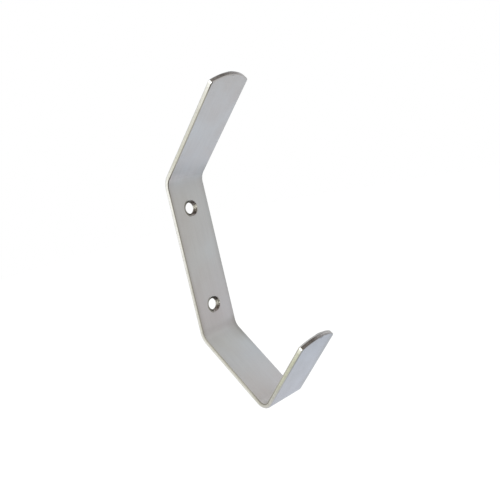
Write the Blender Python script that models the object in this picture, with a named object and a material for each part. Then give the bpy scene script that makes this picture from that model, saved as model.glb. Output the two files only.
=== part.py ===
"""Strip coat hook: one length of flat steel, blanked, punched and bent forwards three times.

Frame: metres, +Z up. The hook faces -Y, the back of its wall plate lies in the plane Y = 0, and the
origin is on that back face, midway between the two screw holes.
"""

import math

import bmesh
import bpy
from mathutils import Vector

# The steel strip
STRIP_WIDTH = 0.018
STRIP_THICKNESS = 0.002
EDGE_ROUND = 0.0003  # radius on the long edges and round the ends
END_RISE = 0.0028  # how far the middle of a rounded end stands beyond its two corners
END_CORNER_ROUND = 0.0012  # where a rounded end runs into the sides

# The four flats, measured on the inner side of the bends from corner to corner as if the bends were
# sharp, and on the prong and the tip as far as the middle of the rounded end
PRONG_LENGTH = 0.050
PLATE_LENGTH = 0.062
ARM_LENGTH = 0.0365
TIP_LENGTH = 0.037

# How far each flat leans out from the wall
PRONG_LEAN = math.radians(50.5)
ARM_LEAN = math.radians(43.5)
TIP_LEAN = math.radians(44.5)

# Inner radius of each bend
PRONG_BEND_RADIUS = 0.005
ARM_BEND_RADIUS = 0.005
TIP_BEND_RADIUS = 0.003

# The two screw holes in the wall plate
HOLE_SPACING = 0.0395
HOLE_DIAMETER = 0.0045
HOLE_CHAMFER = 0.001  # at the front rim, as deep as it is wide

# Fineness of the round shapes
DEGREES_PER_BEND_STEP = 5
END_STEPS = 24
CORNER_STEPS = 4
EDGE_STEPS = 2
HOLE_SIDES = 48

CUTTER_OVERRUN = 0.002  # how far a hole cutter passes the back of the plate
CUT_TOLERANCE = 1e-7
SHARP_ANGLE = math.radians(30)  # edges that turn more than this are shaded sharp

STEEL_COLOUR = (0.52, 0.53, 0.54, 1.0)
STEEL_ROUGHNESS = 0.3

# What is left of each flat between its bends
TIP_BEND_ANGLE = math.pi - ARM_LEAN - TIP_LEAN
PRONG_SETBACK = PRONG_BEND_RADIUS * math.tan(PRONG_LEAN / 2)
ARM_SETBACK = ARM_BEND_RADIUS * math.tan(ARM_LEAN / 2)
TIP_SETBACK = TIP_BEND_RADIUS * math.tan(TIP_BEND_ANGLE / 2)

# From the middle of the plate upwards and downwards: (flat, bend that follows it, its inner radius)
UPPER_RUN = [
    (PLATE_LENGTH / 2 - PRONG_SETBACK, PRONG_LEAN, PRONG_BEND_RADIUS),
    (PRONG_LENGTH - PRONG_SETBACK, 0, 0),
]
LOWER_RUN = [
    (PLATE_LENGTH / 2 - ARM_SETBACK, ARM_LEAN, ARM_BEND_RADIUS),
    (ARM_LENGTH - ARM_SETBACK - TIP_SETBACK, TIP_BEND_ANGLE, TIP_BEND_RADIUS),
    (TIP_LENGTH - TIP_SETBACK, 0, 0),
]


def bend_length(angle, radius):
    """Length of strip in a bend, along the middle of its thickness, where bending stretches nothing."""
    return angle * (radius + STRIP_THICKNESS / 2)


def run_length(run):
    return sum(flat + bend_length(angle, radius) for flat, angle, radius in run)


def cut_stations(run):
    """Distances along the flat strip where it needs a row of points to follow its bends."""
    stations = []
    travelled = 0
    for flat, angle, radius in run:
        travelled += flat
        length = bend_length(angle, radius)
        steps = math.ceil(math.degrees(angle) / DEGREES_PER_BEND_STEP)
        stations += [travelled + length * step / steps for step in range(steps + 1) if steps]
        travelled += length
    return stations


def bent_place(run, distance, height):
    """(reach, rise) of a strip point: its distance from the middle of the plate, and above the back."""
    start = Vector((0, 0))
    turned = 0

    def heading():
        return Vector((math.sin(turned), math.cos(turned)))

    def outward():
        return Vector((math.cos(turned), -math.sin(turned)))

    for flat, angle, radius in run:
        if distance <= flat or not angle:
            break
        distance -= flat
        centre = start + heading() * flat + outward() * (STRIP_THICKNESS + radius)
        swing = min(distance / (radius + STRIP_THICKNESS / 2), angle)
        turned += swing
        distance -= bend_length(swing, radius)
        start = centre - outward() * (STRIP_THICKNESS + radius)
        if swing < angle:
            break
    return start + heading() * distance + outward() * height


def arc(centre, radius, start, stop, steps):
    angles = [start + (stop - start) * step / steps for step in range(steps + 1)]
    return [(centre[0] + radius * math.cos(angle), centre[1] + radius * math.sin(angle)) for angle in angles]


def rounded_end(apex):
    """Outline of an end whose middle lies at this distance: corner, end and corner arcs from +X to -X."""
    half = STRIP_WIDTH / 2
    end_radius = (half**2 + END_RISE**2) / (2 * END_RISE)
    end_centre = apex - end_radius
    corner_across = half - END_CORNER_ROUND
    corner_along = math.sqrt((end_radius - END_CORNER_ROUND) ** 2 - corner_across**2)
    meeting = math.atan2(corner_along, corner_across)
    corner_centre = end_centre + corner_along
    return (
        arc((corner_across, corner_centre), END_CORNER_ROUND, 0, meeting, CORNER_STEPS)
        + arc((0, end_centre), end_radius, meeting, math.pi - meeting, END_STEPS)[1:-1]
        + arc((-corner_across, corner_centre), END_CORNER_ROUND, math.pi - meeting, math.pi, CORNER_STEPS)
    )


def flat_blank():
    """The strip before bending: X across it, Y along it, Z from its back face to its front face."""
    blank = bmesh.new()
    upper_end = rounded_end(run_length(UPPER_RUN))
    lower_end = [(-across, -along) for across, along in rounded_end(run_length(LOWER_RUN))]
    back = blank.faces.new([blank.verts.new((across, along, 0)) for across, along in upper_end + lower_end])

    raised = bmesh.ops.extrude_face_region(blank, geom=[back])["geom"]
    front_verts = [item for item in raised if isinstance(item, bmesh.types.BMVert)]
    bmesh.ops.translate(blank, verts=front_verts, vec=(0, 0, STRIP_THICKNESS))
    bmesh.ops.recalc_face_normals(blank, faces=blank.faces)

    def runs_round(edge):
        return abs(edge.verts[0].co.z - edge.verts[1].co.z) < CUT_TOLERANCE

    rims = [edge for edge in blank.edges if runs_round(edge)]
    bmesh.ops.bevel(
        blank, geom=rims, offset=EDGE_ROUND, segments=EDGE_STEPS, profile=0.5, affect="EDGES"
    )
    return blank


def bend_blank(blank):
    """Adds rows of points at the bends and folds the flat strip into the hook."""
    stations = cut_stations(UPPER_RUN) + [-distance for distance in cut_stations(LOWER_RUN)]
    for station in stations:
        everything = blank.verts[:] + blank.edges[:] + blank.faces[:]
        bmesh.ops.bisect_plane(
            blank, geom=everything, dist=CUT_TOLERANCE, plane_co=(0, station, 0), plane_no=(0, 1, 0)
        )
    for vert in blank.verts:
        across, along, height = vert.co
        run, upwards = (UPPER_RUN, 1) if along > 0 else (LOWER_RUN, -1)
        reach, rise = bent_place(run, abs(along), height)
        vert.co = (across, -reach, upwards * rise)
    bmesh.ops.recalc_face_normals(blank, faces=blank.faces)


def make_object(name, mesh_builder):
    mesh = bpy.data.meshes.new(name)
    mesh_builder.to_mesh(mesh)
    mesh_builder.free()
    made = bpy.data.objects.new(name, mesh)
    bpy.context.scene.collection.objects.link(made)
    return made


def hole_cutter(name, height):
    """A turned plug that cuts one bore, with a chamfer at the front face."""
    bore = HOLE_DIAMETER / 2
    rim = bore + HOLE_CHAMFER
    front = -STRIP_THICKNESS
    overrun = HOLE_CHAMFER
    profile = [
        (0, CUTTER_OVERRUN),
        (bore, CUTTER_OVERRUN),
        (bore, front + HOLE_CHAMFER),
        (rim + overrun, front - overrun),
        (0, front - overrun),
    ]
    plug = bmesh.new()
    points = [plug.verts.new((radius, depth, 0)) for radius, depth in profile]
    edges = [plug.edges.new(pair) for pair in zip(points, points[1:])]
    bmesh.ops.spin(
        plug, geom=points + edges, cent=(0, 0, 0), axis=(0, 1, 0), angle=math.tau, steps=HOLE_SIDES
    )
    bmesh.ops.remove_doubles(plug, verts=plug.verts, dist=CUT_TOLERANCE)
    bmesh.ops.recalc_face_normals(plug, faces=plug.faces)
    cutter = make_object(name, plug)
    cutter.location.z = height
    cutter.hide_render = True
    cutter.display_type = "WIRE"
    return cutter


def plated_steel():
    material = bpy.data.materials.new("plated_steel")
    material.use_nodes = True
    shader = material.node_tree.nodes["Principled BSDF"]
    shader.inputs["Base Color"].default_value = STEEL_COLOUR
    shader.inputs["Metallic"].default_value = 1.0
    shader.inputs["Roughness"].default_value = STEEL_ROUGHNESS
    return material


def make_hook_strip():
    blank = flat_blank()
    bend_blank(blank)
    hook = make_object("hook_strip", blank)
    hook.data.materials.append(plated_steel())
    for name, height in (("upper_screw_hole", HOLE_SPACING / 2), ("lower_screw_hole", -HOLE_SPACING / 2)):
        cut = hook.modifiers.new(name, "BOOLEAN")
        cut.operation = "DIFFERENCE"
        cut.solver = "EXACT"
        cut.object = hole_cutter(name + "_cutter", height)
    hook.data.shade_smooth()
    hook.data.set_sharp_from_angle(angle=SHARP_ANGLE)


def main():
    for old in list(bpy.data.objects):
        bpy.data.objects.remove(old)
    make_hook_strip()


main()
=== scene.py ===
"""Looks of the strip coat hook: the bent and punched strip, its plated finish, the camera and the studio.

Frame: metres, +Z up. The hook faces -Y, the back of its wall plate lies in the plane Y = 0, and the
origin is on that back face, midway between the two screw holes.
"""

import math
from collections import namedtuple

import bmesh
import bpy
from mathutils import Matrix, Vector


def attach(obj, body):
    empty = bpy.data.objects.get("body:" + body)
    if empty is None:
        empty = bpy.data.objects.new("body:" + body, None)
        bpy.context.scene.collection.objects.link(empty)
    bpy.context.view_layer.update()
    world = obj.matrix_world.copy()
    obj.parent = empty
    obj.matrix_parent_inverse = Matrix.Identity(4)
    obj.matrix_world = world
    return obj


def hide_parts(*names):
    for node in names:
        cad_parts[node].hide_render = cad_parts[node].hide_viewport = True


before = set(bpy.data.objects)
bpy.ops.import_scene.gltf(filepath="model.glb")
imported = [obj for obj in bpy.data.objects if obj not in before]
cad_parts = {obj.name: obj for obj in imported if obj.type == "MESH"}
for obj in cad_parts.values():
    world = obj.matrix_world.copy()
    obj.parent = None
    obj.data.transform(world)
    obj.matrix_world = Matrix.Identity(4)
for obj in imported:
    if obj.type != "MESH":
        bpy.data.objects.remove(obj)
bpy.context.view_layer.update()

# The steel strip
STRIP_WIDTH = 0.018
STRIP_THICKNESS = 0.002
EDGE_ROUND = 0.0004  # radius on the long edges and round the ends
END_RISE = 0.0028  # how far the middle of a rounded end stands beyond its two corners
END_CORNER_ROUND = 0.0012  # where a rounded end runs into the sides

# The four flats, measured on the inner side of the bends from corner to corner as if the bends were
# sharp, and on the prong and the tip as far as the middle of the rounded end
PRONG_LENGTH = 0.050
PLATE_LENGTH = 0.062
ARM_LENGTH = 0.0365
TIP_LENGTH = 0.037

# How far each flat leans out from the wall
PRONG_LEAN = math.radians(50.5)
ARM_LEAN = math.radians(43.5)
TIP_LEAN = math.radians(44.5)

# Inner radius of each bend
PRONG_BEND_RADIUS = 0.005
ARM_BEND_RADIUS = 0.005
TIP_BEND_RADIUS = 0.003

# The two screw holes in the wall plate
HOLE_SPACING = 0.0395
BORE_RADIUS = 0.00225
COUNTERSINK = 0.001  # at the front rim, as deep as it is wide
RIM_RADIUS = BORE_RADIUS + COUNTERSINK
HOLE_EDGE_ROUND = 0.00025  # where the burr is taken off both rims

# Fineness of the round shapes
DEGREES_PER_BEND_STEP = 2.5
CORNER_STEPS = 6
END_STEPS = 18
EDGE_STEPS = 4
HOLE_SIDES = 96
HOLE_EDGE_STEPS = 3
ROUND_PROFILE = 0.5

CUTTER_OVERRUN = 0.001  # how far a hole cutter passes both faces of the plate
PLACE_TOLERANCE = 0.00003
EDGE_FOLD = math.radians(60)  # edges of the strip that turn more than this are rounded
SMOOTH_ANGLE = math.radians(35)  # edges that turn less than this are shaded smooth

# What is left of each flat between its bends
TIP_BEND_ANGLE = math.pi - ARM_LEAN - TIP_LEAN
PRONG_SETBACK = PRONG_BEND_RADIUS * math.tan(PRONG_LEAN / 2)
ARM_SETBACK = ARM_BEND_RADIUS * math.tan(ARM_LEAN / 2)
TIP_SETBACK = TIP_BEND_RADIUS * math.tan(TIP_BEND_ANGLE / 2)

# From the middle of the plate upwards and downwards: (flat, bend that follows it, its inner radius)
UPPER_RUN = [
    (PLATE_LENGTH / 2 - PRONG_SETBACK, PRONG_LEAN, PRONG_BEND_RADIUS),
    (PRONG_LENGTH - PRONG_SETBACK, 0, 0),
]
LOWER_RUN = [
    (PLATE_LENGTH / 2 - ARM_SETBACK, ARM_LEAN, ARM_BEND_RADIUS),
    (ARM_LENGTH - ARM_SETBACK - TIP_SETBACK, TIP_BEND_ANGLE, TIP_BEND_RADIUS),
    (TIP_LENGTH - TIP_SETBACK, 0, 0),
]

# A rounded end is one wide arc, which runs into the sides through two small corner arcs
END_RADIUS = ((STRIP_WIDTH / 2) ** 2 + END_RISE**2) / (2 * END_RISE)
CORNER_ACROSS = STRIP_WIDTH / 2 - END_CORNER_ROUND  # centre of a corner arc, from that of the wide one
CORNER_ALONG = math.sqrt((END_RADIUS - END_CORNER_ROUND) ** 2 - CORNER_ACROSS**2)
CORNER_ANGLE = math.atan2(CORNER_ALONG, CORNER_ACROSS)
END_LENGTH = END_RADIUS - CORNER_ALONG  # from where the sides begin to round to the middle of the end

# How far past the start of its corners an end counts as sheared: at their last row of points but one
SHEARED_FROM = END_CORNER_ROUND * math.sin(CORNER_ANGLE * (CORNER_STEPS - 1) / CORNER_STEPS)

# A flat and the bend after it: where it starts on the back of the strip, and the centre of the bend
Leg = namedtuple("Leg", "start heading outward travelled flat angle radius centre")


def bend_length(angle, radius):
    """Length of strip in a bend, along the middle of its thickness, where bending stretches nothing."""
    return angle * (radius + STRIP_THICKNESS / 2)


def run_length(run):
    return sum(flat + bend_length(angle, radius) for flat, angle, radius in run)


def directions(turned, upwards):
    """Where the strip heads and where its front faces, once it has turned so far from the wall."""
    heading = Vector((0, -math.sin(turned), upwards * math.cos(turned)))
    outward = Vector((0, -math.cos(turned), -upwards * math.sin(turned)))
    return heading, outward


def legs(run, upwards):
    """Follows the back of the strip from the middle of the plate. A leg is a flat and the bend after it."""
    start = Vector((0, 0, 0))
    turned = 0
    travelled = 0
    for flat, angle, radius in run:
        heading, outward = directions(turned, upwards)
        centre = start + heading * flat + outward * (STRIP_THICKNESS + radius)
        yield Leg(start, heading, outward, travelled, flat, angle, radius, centre)
        turned += angle
        travelled += flat + bend_length(angle, radius)
        heading, outward = directions(turned, upwards)
        start = centre - outward * (STRIP_THICKNESS + radius)


def end_rows():
    """Rows of points across a rounded end: (distance from where the sides begin to round, half width)."""
    rows = []
    for step in range(CORNER_STEPS + 1):
        angle = CORNER_ANGLE * step / CORNER_STEPS
        rows.append((
            END_CORNER_ROUND * math.sin(angle),
            CORNER_ACROSS + END_CORNER_ROUND * math.cos(angle),
        ))
    for step in range(1, END_STEPS):
        angle = CORNER_ANGLE + (math.pi / 2 - CORNER_ANGLE) * step / END_STEPS
        rows.append((END_RADIUS * math.sin(angle) - CORNER_ALONG, END_RADIUS * math.cos(angle)))
    return rows


def select_in_edit(piece, kind, wanted):
    """Selects only the faces or edges that pass a test."""
    bpy.ops.mesh.select_mode(type=kind)
    bpy.ops.mesh.select_all(action="DESELECT")
    shape = bmesh.from_edit_mesh(piece.data)
    for item in shape.faces if kind == "FACE" else shape.edges:
        if wanted(item):
            item.select_set(True)
    bmesh.update_edit_mesh(piece.data)


def lies_at(item, axis, level):
    """Whether all points of a face or an edge lie at one level along an axis."""
    return all(abs(getattr(vert.co, axis) - level) < PLACE_TOLERANCE for vert in item.verts)


def push(step):
    bpy.ops.mesh.extrude_region_move(TRANSFORM_OT_translate={"value": tuple(step)})


def round_end(heading):
    """Extrudes the selected end row by row, each narrower than the last."""
    rows = end_rows()
    for (before, wide), (after, narrow) in zip(rows, rows[1:]):
        push(heading * (after - before))
        bpy.ops.transform.resize(value=(narrow / wide, 1, 1), center_override=(0, 0, 0))


def run_strip(run, upwards):
    """Extrudes the selected face along the flats and round the bends of a run, and rounds off its end."""
    for leg in legs(run, upwards):
        if leg.angle:
            push(leg.heading * leg.flat)
            steps = math.ceil(math.degrees(leg.angle) / DEGREES_PER_BEND_STEP)
            bpy.ops.mesh.spin(steps=steps, angle=-upwards * leg.angle, center=leg.centre, axis=(1, 0, 0))
        else:
            push(leg.heading * (leg.flat - END_LENGTH))
            round_end(leg.heading)


def bend_strip():
    """The strip as it comes off the bending tool, with its edges eased."""
    middle = Vector((0, -STRIP_THICKNESS / 2, 0))
    bpy.ops.object.select_all(action="DESELECT")
    bpy.ops.mesh.primitive_plane_add(size=1, location=middle, calc_uvs=False)
    strip = bpy.context.object
    strip.name = "plated_strip"
    bpy.ops.object.transform_apply(location=True)
    bpy.ops.object.mode_set(mode="EDIT")
    bpy.ops.transform.resize(value=(STRIP_WIDTH, STRIP_THICKNESS, 1), center_override=middle)
    bpy.ops.mesh.select_mode(type="FACE")
    bpy.ops.mesh.select_all(action="SELECT")
    run_strip(UPPER_RUN, 1)
    select_in_edit(strip, "FACE", lambda face: lies_at(face, "z", 0))
    run_strip(LOWER_RUN, -1)
    bpy.ops.mesh.select_all(action="SELECT")
    bpy.ops.mesh.normals_make_consistent(inside=False)
    select_in_edit(strip, "EDGE", lambda edge: edge.calc_face_angle(0) > EDGE_FOLD)
    bpy.ops.mesh.bevel(offset=EDGE_ROUND, segments=EDGE_STEPS, profile=ROUND_PROFILE, affect="EDGES")
    bpy.ops.object.mode_set(mode="OBJECT")
    return strip


def hole_plug(height):
    """The cutter of one hole: a cylinder that widens at the countersink."""
    seat = COUNTERSINK - STRIP_THICKNESS
    bpy.ops.object.select_all(action="DESELECT")
    bpy.ops.mesh.primitive_cylinder_add(
        vertices=HOLE_SIDES,
        radius=BORE_RADIUS,
        depth=CUTTER_OVERRUN - seat,
        location=(0, (CUTTER_OVERRUN + seat) / 2, height),
        rotation=(math.pi / 2, 0, 0),
        calc_uvs=False,
    )
    plug = bpy.context.object
    bpy.ops.object.transform_apply(location=True, rotation=True)
    bpy.ops.object.mode_set(mode="EDIT")
    select_in_edit(plug, "FACE", lambda face: lies_at(face, "y", seat))
    push((0, -COUNTERSINK - CUTTER_OVERRUN, 0))
    widening = (RIM_RADIUS + CUTTER_OVERRUN) / BORE_RADIUS
    bpy.ops.transform.resize(value=(widening, 1, widening), center_override=(0, seat, height))
    bpy.ops.object.mode_set(mode="OBJECT")
    return plug


def punch_hole(strip, height):
    """Cuts a bore with a countersink at the front, and takes the burr off both rims."""
    plug = hole_plug(height)
    bpy.context.view_layer.objects.active = strip
    cut = strip.modifiers.new("screw_hole", "BOOLEAN")
    cut.operation = "DIFFERENCE"
    cut.solver = "EXACT"
    cut.object = plug
    bpy.ops.object.modifier_apply(modifier=cut.name)
    bpy.data.objects.remove(plug)

    def on_circle(edge, radius):
        return all(
            abs(math.hypot(vert.co.x, vert.co.z - height) - radius) < PLACE_TOLERANCE for vert in edge.verts
        )

    def on_rim(edge):
        on_front_rim = lies_at(edge, "y", -STRIP_THICKNESS) and on_circle(edge, RIM_RADIUS)
        on_back_rim = lies_at(edge, "y", 0) and on_circle(edge, BORE_RADIUS)
        return on_front_rim or on_back_rim

    strip.select_set(True)
    bpy.ops.object.mode_set(mode="EDIT")
    select_in_edit(strip, "EDGE", on_rim)
    bpy.ops.mesh.bevel(
        offset=HOLE_EDGE_ROUND, segments=HOLE_EDGE_STEPS, profile=ROUND_PROFILE, affect="EDGES"
    )
    bpy.ops.object.mode_set(mode="OBJECT")


def in_metal(height):
    return -PLACE_TOLERANCE < height < STRIP_THICKNESS + PLACE_TOLERANCE


def flat_place(point):
    """Where a point lay before bending: (distance along the strip from the plate's middle, height)."""
    run, upwards = (UPPER_RUN, 1) if point.z >= 0 else (LOWER_RUN, -1)
    target = Vector((0, point.y, point.z))
    for leg in legs(run, upwards):
        along = (target - leg.start).dot(leg.heading)
        height = (target - leg.start).dot(leg.outward)
        if not leg.angle or (along < leg.flat + PLACE_TOLERANCE and in_metal(height)):
            return upwards * (leg.travelled + along), height
        spoke = target - leg.centre
        swing = math.atan2(spoke.dot(leg.heading), -spoke.dot(leg.outward))
        height = STRIP_THICKNESS + leg.radius - spoke.length
        if 0 <= swing <= leg.angle and in_metal(height):
            return upwards * (leg.travelled + leg.flat + bend_length(swing, leg.radius)), height


def is_cut(across, along):
    """Whether a place lies at a sheared end or in a punched hole, and not along a rolled side."""
    run = UPPER_RUN if along > 0 else LOWER_RUN
    past_sides = abs(along) - (run_length(run) - END_LENGTH)
    from_axis = math.hypot(across, abs(along) - HOLE_SPACING / 2)
    return past_sides > SHEARED_FROM - PLACE_TOLERANCE or from_axis < RIM_RADIUS + 2 * HOLE_EDGE_ROUND


def mark_flat_places(strip):
    """Stores where each point lay on the flat strip, so that the finish follows it round the bends."""
    attributes = strip.data.attributes
    attributes.new("flat_place", "FLOAT_VECTOR", "POINT")
    attributes.new("cut", "FLOAT", "POINT")
    places = attributes["flat_place"].data
    cuts = attributes["cut"].data
    for vert in strip.data.vertices:
        across = vert.co.x
        along, height = flat_place(vert.co)
        places[vert.index].vector = (across, along, height)
        cuts[vert.index].value = is_cut(across, along)


def model_strip():
    strip = bend_strip()
    for height in (HOLE_SPACING / 2, -HOLE_SPACING / 2):
        punch_hole(strip, height)
    bpy.ops.object.shade_smooth_by_angle(angle=SMOOTH_ANGLE)
    even = strip.modifiers.new("even_shading", "WEIGHTED_NORMAL")
    even.keep_sharp = True
    bpy.ops.object.modifier_apply(modifier=even.name)
    mark_flat_places(strip)
    return strip


# The finish follows measures on the flat strip, in millimetres. "along" counts from the middle of the
# plate: the tip ends at -105, the bends lie at -71 to -65, -34 to -29 and 29 to 34, and the prong ends at
# 82. "across" counts from the middle line, with the sides at -9 and 9. "height" counts from the back face,
# with the front face at 2, and "depth" from the nearer of the two faces. "from_axis" and "round_hole" are
# the distance from the nearest hole's axis and the angle round it, in degrees from the right.
MILLIMETRES = 1000

# Soft limits of a measure: (none, full) or (none, full, full, none)
FRONT = (0.6, 1.4)  # of height
BACK = (1.4, 0.6)  # of height
ON_PLATE = (-28, -26, 26, 28)  # of along
ROUNDED_EDGE = (0.005, 0.06)  # of depth
NARROW_SIDE = (0.28, 0.44)  # of depth
CRISP_SIDE = (0.08, 0.22)  # of depth, in the holes and at the outside of the tip's end
DARKENED_REFLECTION_HALF = (5, -1)  # of across, where the reflection on the cuts is darkened: painted shade

# Regions of the strip, by soft limits
INNER_TIP = dict(along=(-65, -71), height=FRONT)
OUTER_TIP = dict(along=(-72, -80), height=BACK)
# A painted shade line on the plate at the left of each hole
PAINTED_SHADE_LEFT_OF_HOLE = dict(along=ON_PLATE, across=(-0.4, -2.4), from_axis=(3.0, 3.3, 3.55, 3.75))
# Where the front is painted lighter at its right and darker at its left: painted light and shade
PAINTED_LIGHT_ACROSS_REGION = dict(along=(-70, -60, 20, 32))

INNER_TIP_SINK = 0.2  # how much deeper the edge line and the narrow side begin on the inner tip

# Textures: about how many grains there are in a millimetre across, along and through the strip, and detail
CLOUDS = ((0.11, 0.077, 0.11), 3)
STREAKS = ((2.4, 0.07, 2.4), 4)
GRAIN = ((14, 0.6, 14), 3)
SPECKS = ((1.3, 1.3, 1.3), 4)
BLOTCHES = ((0.7, 0.7, 0.7), 2)
FLECKS = ((2.2, 2.2, 2.2), 1)
TEXTURE_ROUGHNESS = 0.55
TEXTURE_MIDDLE = 0.5

# Colours that vary with a texture: (texture, its range, colour at the low end, colour at the high end)
CLOUDED_PLATE = (CLOUDS, (0.35, 0.65), (0.484, 0.488, 0.486), (0.496, 0.491, 0.484))
STREAKED = (STREAKS, (0.3, 0.7), (0.975, 0.975, 0.975), (1.02, 1.02, 1.02))
MOTTLED = (SPECKS, (0.3, 0.7), (0.90, 0.90, 0.88), (1.08, 1.08, 1.09))
RAGGED = (FLECKS, (0.35, 0.65), (0.82, 0.81, 0.80), (1.18, 1.17, 1.15))
# Torn flecks on the hole walls, the bright ones painted glints
TORN_FLECKS_AND_PAINTED_GLINTS = (FLECKS, (0.35, 0.65), (0.45, 0.44, 0.42), (1.7, 1.7, 1.7))
SATIN = (CLOUDS, (0.3, 0.7), (0.56, 0.56, 0.56), (0.64, 0.64, 0.64))

# The flats: a tint along and across the front, partly the plating's own tone and partly painted light and
# shade, the tone of the back, partly a painted bluish reflection, and patches of painted shade and light as
# (tint, region)
FRONT_TINT_AND_PAINTED_LIGHT = (
    (-105, (0.955, 0.955, 0.955)),
    (-74, (0.99, 0.985, 0.98)),
    (-63, (1.05, 1.02, 1.02)),
    (-46, (0.985, 1.01, 1.035)),
    (-36, (0.96, 0.965, 0.95)),
    (-25, (0.945, 0.90, 0.90)),
    (0, (0.925, 0.92, 0.91)),
    (24, (0.905, 0.895, 0.875)),
    (35, (0.86, 0.86, 0.885)),
    (43, (0.92, 0.91, 0.93)),
    (60, (0.92, 0.91, 0.92)),
    (70, (0.90, 0.875, 0.875)),
    (82, (0.88, 0.86, 0.85)),
)
FRONT_PAINTED_LIGHT_ACROSS = (
    (-9, (0.97, 0.955, 0.945)),
    (-3, (0.99, 0.985, 0.985)),
    (4, (1.015, 1.03, 1.055)),
    (9, (1.00, 1.015, 1.035)),
)
FRONT_PAINTED_SHADING = (
    # The upper bend, darkened, and the places at its left, lightened, and at its right, darkened: painted
    # shade and light
    ((0.93, 0.93, 0.93), dict(along=(28.2, 30.8, 31.8, 34.4))),
    ((1.17, 1.14, 1.13), dict(along=(30.5, 33.8, 34.2, 37.5), across=(6, -6))),
    ((0.88, 0.87, 0.85), dict(along=(31, 34, 36, 41), across=(2, 8))),
    # The right half of the prong, darkened: painted shade
    ((0.98, 0.965, 0.95), dict(along=(32, 42, 56, 68), across=(-4, 8))),
    # The right edge of the plate and the arm, darkened: painted shade
    ((0.90, 0.90, 0.90), dict(along=(-52, -40, 32, 40), across=(6.4, 8.9))),
    # The lower bend: its right half, its right corner and the crease at its start, darkened: painted shade
    ((0.90, 0.89, 0.88), dict(along=(-42, -35, -29, -26), across=(1, 7))),
    ((0.88, 0.88, 0.87), dict(along=(-41, -36, -29, -25), across=(6, 8.8))),
    ((0.96, 0.95, 0.95), dict(along=(-32, -30, -29, -27))),
    # The left edge of the plate, darkened: painted shade
    ((0.88, 0.87, 0.86), dict(along=(-36, -28, 26, 34), across=(-7.2, -8.9))),
)
# The back: a bluish grey, partly a painted reflection
BACK_TONE_AND_PAINTED_REFLECTION = (
    (-105, (0.378, 0.386, 0.410)),
    (-88, (0.410, 0.414, 0.436)),
    (-72, (0.424, 0.425, 0.448)),
    (-60, (0.400, 0.408, 0.420)),
)
BACK_PAINTED_SHADE = (
    # The right edge of the tip, darkened: painted shade
    ((0.94, 0.93, 0.90), dict(along=(-70, -76), across=(5, 8))),
)

# The rolled sides, along the strip: a pale tone, partly painted reflection, with painted highlights near
# both ends
ROLLED_TONE_AND_PAINTED_HIGHLIGHTS = (
    (-105, (0.98, 0.98, 0.88)),
    (-102.5, (0.95, 0.95, 0.85)),
    (-100, (0.63, 0.635, 0.51)),
    (-95, (0.54, 0.545, 0.42)),
    (-84, (0.51, 0.515, 0.41)),
    (-76, (0.47, 0.465, 0.42)),
    (-70, (0.46, 0.45, 0.41)),
    (-65, (0.52, 0.51, 0.45)),
    (-59, (0.63, 0.62, 0.55)),
    (-20, (0.69, 0.68, 0.62)),
    (8, (0.80, 0.79, 0.74)),
    (28, (0.87, 0.86, 0.81)),
    (42, (0.63, 0.62, 0.53)),
    (66, (0.65, 0.64, 0.57)),
    (75, (0.74, 0.73, 0.66)),
    (79, (0.95, 0.95, 0.90)),
    (82, (0.98, 0.98, 0.95)),
)
ROLLED_PAINTED_SHADE = (
    # The front half of the lower plate's, the arm's and the tip bend's sides, darkened: painted shade
    ((0.78, 0.77, 0.76), dict(along=(-72, -66, -12, 6), height=(0.8, 1.5))),
    # The outer half of the tip's sides, darkened: painted shade
    ((0.86, 0.86, 0.85), dict(along=(-70, -80), height=(1.5, 0.4))),
)

# The sheared ends, across the strip: their tone with painted shade, dark at the left and grey at the right
SHEARED_TONE_AND_PAINTED_SHADE = (
    (-9, (0.150, 0.138, 0.130)),
    (-6.5, (0.160, 0.148, 0.140)),
    (-4, (0.120, 0.110, 0.105)),
    (-1.5, (0.210, 0.200, 0.195)),
    (1.5, (0.385, 0.380, 0.385)),
    (4, (0.400, 0.395, 0.400)),
    (9, (0.340, 0.340, 0.345)),
)
SHEARED_PAINTED_SHADE = (
    # The right half of the prong's end, darkened: painted shade
    ((0.80, 0.79, 0.79), dict(along=(60, 70), across=(-1, 2))),
    # The lips of both ends at the right, darkened: painted shade
    ((0.70, 0.69, 0.69), dict(depth=(0.1, 0.25, 0.5, 0.8), across=(-2, 2))),
    # The left half of the tip's end, darkened: painted shade
    ((0.84, 0.82, 0.80), dict(along=(-90, -100), across=(-1, -4))),
)

# The hole walls, by degrees round the hole, which wander with the blotches: painted reflection and shade,
# dark with a pale place at the right
PUNCHED_WANDER = 60
PUNCHED_TONE_AND_PAINTED_REFLECTION = (
    (-180, (0.16, 0.155, 0.145)),
    (-120, (0.24, 0.23, 0.22)),
    (-85, (0.22, 0.20, 0.19)),
    (-60, (0.12, 0.10, 0.09)),
    (-38, (0.10, 0.085, 0.07)),
    (-22, (0.24, 0.225, 0.195)),
    (-4, (0.46, 0.445, 0.39)),
    (12, (0.30, 0.29, 0.245)),
    (26, (0.095, 0.085, 0.08)),
    (62, (0.08, 0.07, 0.065)),
    (88, (0.17, 0.165, 0.155)),
    (180, (0.16, 0.155, 0.145)),
)

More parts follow.
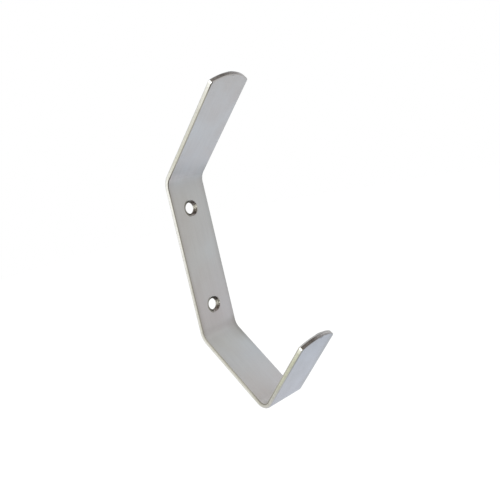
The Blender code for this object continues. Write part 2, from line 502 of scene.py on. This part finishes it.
# The lines along the rounded edges, painted shade: a dark one at the front, and a slight one on the outside
# of the tip
FRONT_LINE_PAINTED_SHADE = (
    (-105, (0.45, 0.44, 0.37)),
    (-88, (0.40, 0.39, 0.33)),
    (-74, (0.25, 0.24, 0.20)),
    (-68, (0.16, 0.15, 0.125)),
    (-60, (0.27, 0.26, 0.225)),
    (-44, (0.27, 0.26, 0.22)),
    (-30, (0.25, 0.24, 0.205)),
    (4, (0.25, 0.24, 0.205)),
    (24, (0.21, 0.20, 0.17)),
    (32, (0.12, 0.11, 0.09)),
    (42, (0.33, 0.32, 0.28)),
    (74, (0.31, 0.30, 0.26)),
    (77.5, (0.10, 0.095, 0.08)),
    (80, (0.03, 0.028, 0.025)),
)
OUTER_LINE_PAINTED_SHADE = (
    (-105, (0.78, 0.78, 0.72)),
    (-97, (0.70, 0.70, 0.64)),
    (-88, (0.92, 0.92, 0.88)),
    (-72, (0.92, 0.92, 0.89)),
)

# The shine, with the reflection on the left halves of the cuts darkened as painted shade
SIDE_ROUGHNESS = (0.28, 0.28, 0.28)
PLAIN_SHEEN = (1, 1, 1)
PAINTED_DARK_SHEEN = (0.3, 0.28, 0.25)
GRAIN_SHARE = 0.4
SPECKS_SHARE = 0.6
RELIEF_STRENGTH = 0.06
RELIEF_DEPTH = 0.0001  # in metres

# A mix node has several sockets of the same name, so its colour sockets go by number
MIX_FACTOR = 0
MIX_COLOURS = (6, 7)
MIX_RESULT = 2


def fill_inputs(tree, node, inputs):
    """Fills a node's inputs with plain values or from the outputs of other nodes."""
    for name, value in inputs.items():
        if isinstance(value, bpy.types.NodeSocket):
            tree.links.new(value, node.inputs[name])
        else:
            node.inputs[name].default_value = value


def add_node(tree, kind, inputs, **settings):
    made = tree.nodes.new(kind)
    for name, value in settings.items():
        setattr(made, name, value)
    fill_inputs(tree, made, inputs)
    return made


def stored(tree, name):
    """A value that the strip's points carry."""
    return add_node(tree, "ShaderNodeAttribute", {}, attribute_name=name)


def calculate(tree, operation, *values):
    return add_node(tree, "ShaderNodeMath", dict(enumerate(values)), operation=operation).outputs["Value"]


def times(tree, *values):
    """Multiplies plain values or outputs of other nodes."""
    product = values[0]
    for value in values[1:]:
        product = calculate(tree, "MULTIPLY", product, value)
    return product


def stretch(tree, vector, factors):
    made = add_node(tree, "ShaderNodeVectorMath", {0: vector, 1: factors}, operation="MULTIPLY")
    return made.outputs["Vector"]


def noise(tree, place, texture):
    fineness, detail = texture
    inputs = {
        "Vector": stretch(tree, place["vector"], fineness),
        "Scale": 1,
        "Detail": detail,
        "Roughness": TEXTURE_ROUGHNESS,
    }
    return add_node(tree, "ShaderNodeTexNoise", inputs).outputs["Fac"]


def spread(tree, value, none, full, curve="SMOOTHSTEP"):
    """Carries a range of values over to 0 to 1. The range may also run downwards."""
    inputs = {"Value": value, "From Min": none, "From Max": full}
    return add_node(tree, "ShaderNodeMapRange", inputs, interpolation_type=curve).outputs["Result"]


def soft(tree, value, limits):
    """0 outside soft limits and 1 inside: (none, full) or (none, full, full, none)."""
    inside = spread(tree, value, *limits[:2])
    if len(limits) > 2:
        full, none = limits[2:]
        inside = times(tree, inside, spread(tree, value, none, full))
    return inside


def region(tree, place, **limits):
    """1 inside a region of the strip and 0 outside it, from soft limits of the measures that bound it."""
    return times(tree, *[soft(tree, place[measure], bounds) for measure, bounds in limits.items()])


def blend(tree, factor, first, second, kind="MIX"):
    """Mixes two colours, which are plain ones or outputs of other nodes."""
    inputs = {MIX_FACTOR: factor}
    for socket, colour in zip(MIX_COLOURS, (first, second)):
        inputs[socket] = colour if isinstance(colour, bpy.types.NodeSocket) else (*colour, 1)
    made = add_node(tree, "ShaderNodeMix", inputs, data_type="RGBA", blend_type=kind)
    return made.outputs[MIX_RESULT]


def tinted(tree, colour, tint, factor=1.0):
    """Multiplies a colour by a tint, as far as a factor says."""
    return blend(tree, factor, colour, tint, "MULTIPLY")


def patched(tree, place, colour, patches):
    """Tints a colour in regions of the strip."""
    for tint, limits in patches:
        colour = tinted(tree, colour, tint, region(tree, place, **limits))
    return colour


def varied(tree, place, variation):
    """A colour that varies with a texture."""
    texture, (low, high), first, second = variation
    return blend(tree, spread(tree, noise(tree, place, texture), low, high), first, second)


def tones(tree, measure, stops):
    """A colour that follows a measure, from stops of (measure, colour)."""
    (low, first_colour), *between, (high, last_colour) = stops
    made = add_node(tree, "ShaderNodeValToRGB", {"Fac": spread(tree, measure, low, high, "LINEAR")})
    first, last = made.color_ramp.elements
    first.color = (*first_colour, 1)
    last.color = (*last_colour, 1)
    for at, colour in between:
        made.color_ramp.elements.new((at - low) / (high - low)).color = (*colour, 1)
    return made.outputs["Color"]


def measure_strip(tree):
    """The measures that the finish follows, by name, with the place as a vector and whether it was cut."""
    place = {"cut": stored(tree, "cut").outputs["Fac"]}
    flat = stored(tree, "flat_place").outputs["Vector"]
    place["vector"] = stretch(tree, flat, (MILLIMETRES, MILLIMETRES, MILLIMETRES))
    axes = add_node(tree, "ShaderNodeSeparateXYZ", {"Vector": place["vector"]}).outputs
    place["across"], place["along"], place["height"] = axes

    below_front = calculate(tree, "SUBTRACT", STRIP_THICKNESS * MILLIMETRES, place["height"])
    below_face = calculate(tree, "MINIMUM", place["height"], below_front)
    sink = times(tree, region(tree, place, **INNER_TIP), INNER_TIP_SINK)
    place["depth"] = calculate(tree, "SUBTRACT", below_face, sink)

    half_spacing = HOLE_SPACING * MILLIMETRES / 2
    from_upper_hole = calculate(tree, "SUBTRACT", place["along"], half_spacing)
    above_hole = calculate(tree, "WRAP", from_upper_hole, half_spacing, -half_spacing)
    squares = [times(tree, side, side) for side in (place["across"], above_hole)]
    place["from_axis"] = calculate(tree, "SQRT", calculate(tree, "ADD", *squares))
    angle = calculate(tree, "ARCTAN2", above_hole, place["across"])
    place["round_hole"] = calculate(tree, "DEGREES", angle)
    return place


def side_share(tree, place):
    """1 on the narrow sides, at the ends and in the holes, and 0 on the flats."""
    on_plate = soft(tree, place["along"], ON_PLATE)
    crisp = calculate(tree, "MAXIMUM", on_plate, region(tree, place, **OUTER_TIP))
    crisp_cut = times(tree, place["cut"], crisp, soft(tree, place["depth"], CRISP_SIDE))
    return calculate(tree, "MAXIMUM", soft(tree, place["depth"], NARROW_SIDE), crisp_cut)


def flat_tone(tree, place):
    """The flats, cloudy and streaked by rolling, with painted light and shade along and across them and in
    soft patches round the bends and at the edges.
    """
    front = tinted(tree, varied(tree, place, CLOUDED_PLATE), tones(tree, place["along"], FRONT_TINT_AND_PAINTED_LIGHT))
    painted_light_across = tones(tree, place["across"], FRONT_PAINTED_LIGHT_ACROSS)
    front = tinted(tree, front, painted_light_across, region(tree, place, **PAINTED_LIGHT_ACROSS_REGION))
    front = patched(tree, place, front, FRONT_PAINTED_SHADING)
    back = patched(tree, place, tones(tree, place["along"], BACK_TONE_AND_PAINTED_REFLECTION), BACK_PAINTED_SHADE)
    plate = blend(tree, soft(tree, place["height"], FRONT), back, front)
    return tinted(tree, plate, varied(tree, place, STREAKED))


def with_painted_edge_shade(tree, place, colour):
    """Adds the lines along the rounded edges and at the left of the holes, which are painted shade."""
    uncut = calculate(tree, "SUBTRACT", 1.0, place["cut"])
    rounded = times(tree, soft(tree, place["depth"], ROUNDED_EDGE), uncut)
    dark = calculate(tree, "MAXIMUM", rounded, region(tree, place, **PAINTED_SHADE_LEFT_OF_HOLE))
    painted_front_line = times(tree, dark, soft(tree, place["height"], FRONT))
    colour = blend(tree, painted_front_line, colour, tones(tree, place["along"], FRONT_LINE_PAINTED_SHADE))
    painted_outer_line = times(tree, rounded, region(tree, place, **OUTER_TIP))
    return tinted(tree, colour, tones(tree, place["along"], OUTER_LINE_PAINTED_SHADE), painted_outer_line)


def rolled_tone(tree, place):
    """The sides along the strip, pale and warm, with painted highlights near the ends and painted shade on
    parts of them.
    """
    tone = tinted(tree, tones(tree, place["along"], ROLLED_TONE_AND_PAINTED_HIGHLIGHTS), varied(tree, place, MOTTLED))
    return patched(tree, place, tone, ROLLED_PAINTED_SHADE)


def sheared_tone(tree, place):
    """The ends, dark and brown at the left and grey at the right, which is painted shade, and flecked."""
    tone = patched(tree, place, tones(tree, place["across"], SHEARED_TONE_AND_PAINTED_SHADE), SHEARED_PAINTED_SHADE)
    return tinted(tree, tone, varied(tree, place, RAGGED))


def punched_tone(tree, place):
    """The hole walls, dark, with a pale place at the right: painted shade and painted reflection, with torn
    flecks whose bright ones are painted glints.
    """
    wander = calculate(tree, "SUBTRACT", noise(tree, place, BLOTCHES), TEXTURE_MIDDLE)
    angle = calculate(tree, "ADD", place["round_hole"], times(tree, wander, PUNCHED_WANDER))
    return tinted(tree, tones(tree, angle, PUNCHED_TONE_AND_PAINTED_REFLECTION), varied(tree, place, TORN_FLECKS_AND_PAINTED_GLINTS))


def side_tone(tree, place):
    on_plate = soft(tree, place["along"], ON_PLATE)
    cut_tone = blend(tree, on_plate, sheared_tone(tree, place), punched_tone(tree, place))
    return blend(tree, place["cut"], rolled_tone(tree, place), cut_tone)


def relief(tree, place):
    """Slight bumps: grain along the strip, and specks."""
    grain = times(tree, noise(tree, place, GRAIN), GRAIN_SHARE)
    specks = times(tree, noise(tree, place, SPECKS), SPECKS_SHARE)
    bumps = calculate(tree, "ADD", grain, specks)
    inputs = {"Strength": RELIEF_STRENGTH, "Distance": RELIEF_DEPTH, "Height": bumps}
    return add_node(tree, "ShaderNodeBump", inputs).outputs["Normal"]


def plated_steel():
    """Satin zinc plate, streaked on the flats, pale on the rolled sides and torn where it was cut, with
    painted light and shade on the flats, the edges, the sides, the ends and the holes.
    """
    steel = bpy.data.materials.new("plated_steel")
    steel.use_nodes = True
    tree = steel.node_tree
    place = measure_strip(tree)
    on_side = side_share(tree, place)
    flats = with_painted_edge_shade(tree, place, flat_tone(tree, place))
    # Painted shade: the reflection on the left halves of the cuts is darkened
    darkened_reflection = times(tree, place["cut"], on_side, soft(tree, place["across"], DARKENED_REFLECTION_HALF))
    fill_inputs(tree, tree.nodes["Principled BSDF"], {
        "Base Color": blend(tree, on_side, flats, side_tone(tree, place)),
        "Metallic": 1,
        "Roughness": blend(tree, on_side, varied(tree, place, SATIN), SIDE_ROUGHNESS),
        "Specular Tint": blend(tree, darkened_reflection, PLAIN_SHEEN, PAINTED_DARK_SHEEN),
        "Normal": relief(tree, place),
    })
    return steel


# The camera, fitted to the outline in the photograph
CAMERA_PLACE = Vector((-0.17535, -0.21203, 0.033067))
CAMERA_AIM = Vector((0.0, -0.029061, 0.000721))
CAMERA_ROLL = math.radians(12.926)
CAMERA_LENS = 49.744  # in millimetres, as is the sensor
CAMERA_SENSOR = 36
CAMERA_NEAREST = 0.01

# The studio: a white floor in a white room, and soft lamps in a direction and at a distance from the hook
HOOK_MIDDLE = Vector((0.0, -0.027, 0.003))
FLOOR_HEIGHT = -0.35
FLOOR_SIZE = 8
WHITE = (1, 1, 1, 1)
Lamp = namedtuple("Lamp", "name direction distance width height level colour")
LAMPS = (
    Lamp("side_lamp", (-0.90, 0.08, 0.42), 0.6, 0.45, 0.5, 2.5, (1.0, 0.99, 0.95)),
    Lamp("low_lamp", (0.62, -0.20, -0.76), 0.4, 0.35, 0.35, 0.35, (0.55, 0.78, 1.0)),
    Lamp("cool_lamp", (0.70, 0.36, -0.62), 0.4, 0.35, 0.35, 0.25, (0.2, 0.5, 1.0)),
    Lamp("front_lamp", (0.62, -0.72, -0.32), 0.5, 0.3, 0.3, 0.15, (1.0, 1.0, 1.0)),
    Lamp("top_lamp", (0.1, 0.1, 1.0), 3.0, 4.0, 4.0, 0.13, (1.0, 1.0, 1.0)),
)


def facing(place, target):
    """The placing of a camera or a lamp that stands at a place and looks at a target."""
    return Matrix.Translation(place) @ (target - place).to_track_quat("-Z", "Y").to_matrix().to_4x4()


def add_camera():
    camera = bpy.data.cameras.new("camera")
    camera.sensor_width = CAMERA_SENSOR
    camera.lens = CAMERA_LENS
    camera.clip_start = CAMERA_NEAREST
    made = bpy.data.objects.new("camera", camera)
    bpy.context.scene.collection.objects.link(made)
    made.matrix_world = facing(CAMERA_PLACE, CAMERA_AIM) @ Matrix.Rotation(-CAMERA_ROLL, 4, "Z")
    bpy.context.scene.camera = made


def floor_paint():
    """Plain matt white."""
    paint = bpy.data.materials.new("floor_paint")
    paint.use_nodes = True
    shader = paint.node_tree.nodes["Principled BSDF"]
    shader.inputs["Base Color"].default_value = WHITE
    shader.inputs["Roughness"].default_value = 1
    shader.inputs["Specular IOR Level"].default_value = 0
    return paint


def add_floor():
    bpy.ops.object.select_all(action="DESELECT")
    bpy.ops.mesh.primitive_plane_add(size=FLOOR_SIZE, location=(0, 0, FLOOR_HEIGHT))
    floor = bpy.context.object
    floor.name = "floor"
    floor.data.materials.append(floor_paint())


def add_lamp(lamp):
    """A soft lamp whose face has the given level, where 1 is white. The camera doesn't see it."""
    light = bpy.data.lights.new(lamp.name, "AREA")
    light.shape = "RECTANGLE"
    light.size = lamp.width
    light.size_y = lamp.height
    light.energy = lamp.level * math.pi * lamp.width * lamp.height
    light.color = lamp.colour
    made = bpy.data.objects.new(lamp.name, light)
    bpy.context.scene.collection.objects.link(made)
    place = HOOK_MIDDLE + Vector(lamp.direction).normalized() * lamp.distance
    made.matrix_world = facing(place, HOOK_MIDDLE)
    made.visible_camera = False


def add_studio():
    world = bpy.data.worlds.new("studio")
    bpy.context.scene.world = world
    world.use_nodes = True
    world.node_tree.nodes["Background"].inputs["Color"].default_value = WHITE
    add_floor()
    for lamp in LAMPS:
        add_lamp(lamp)


add_camera()
strip = model_strip()
strip.data.materials.append(plated_steel())
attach(strip, "root")
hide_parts("hook_strip")
add_studio()
bpy.context.scene.view_settings.view_transform = "Standard"
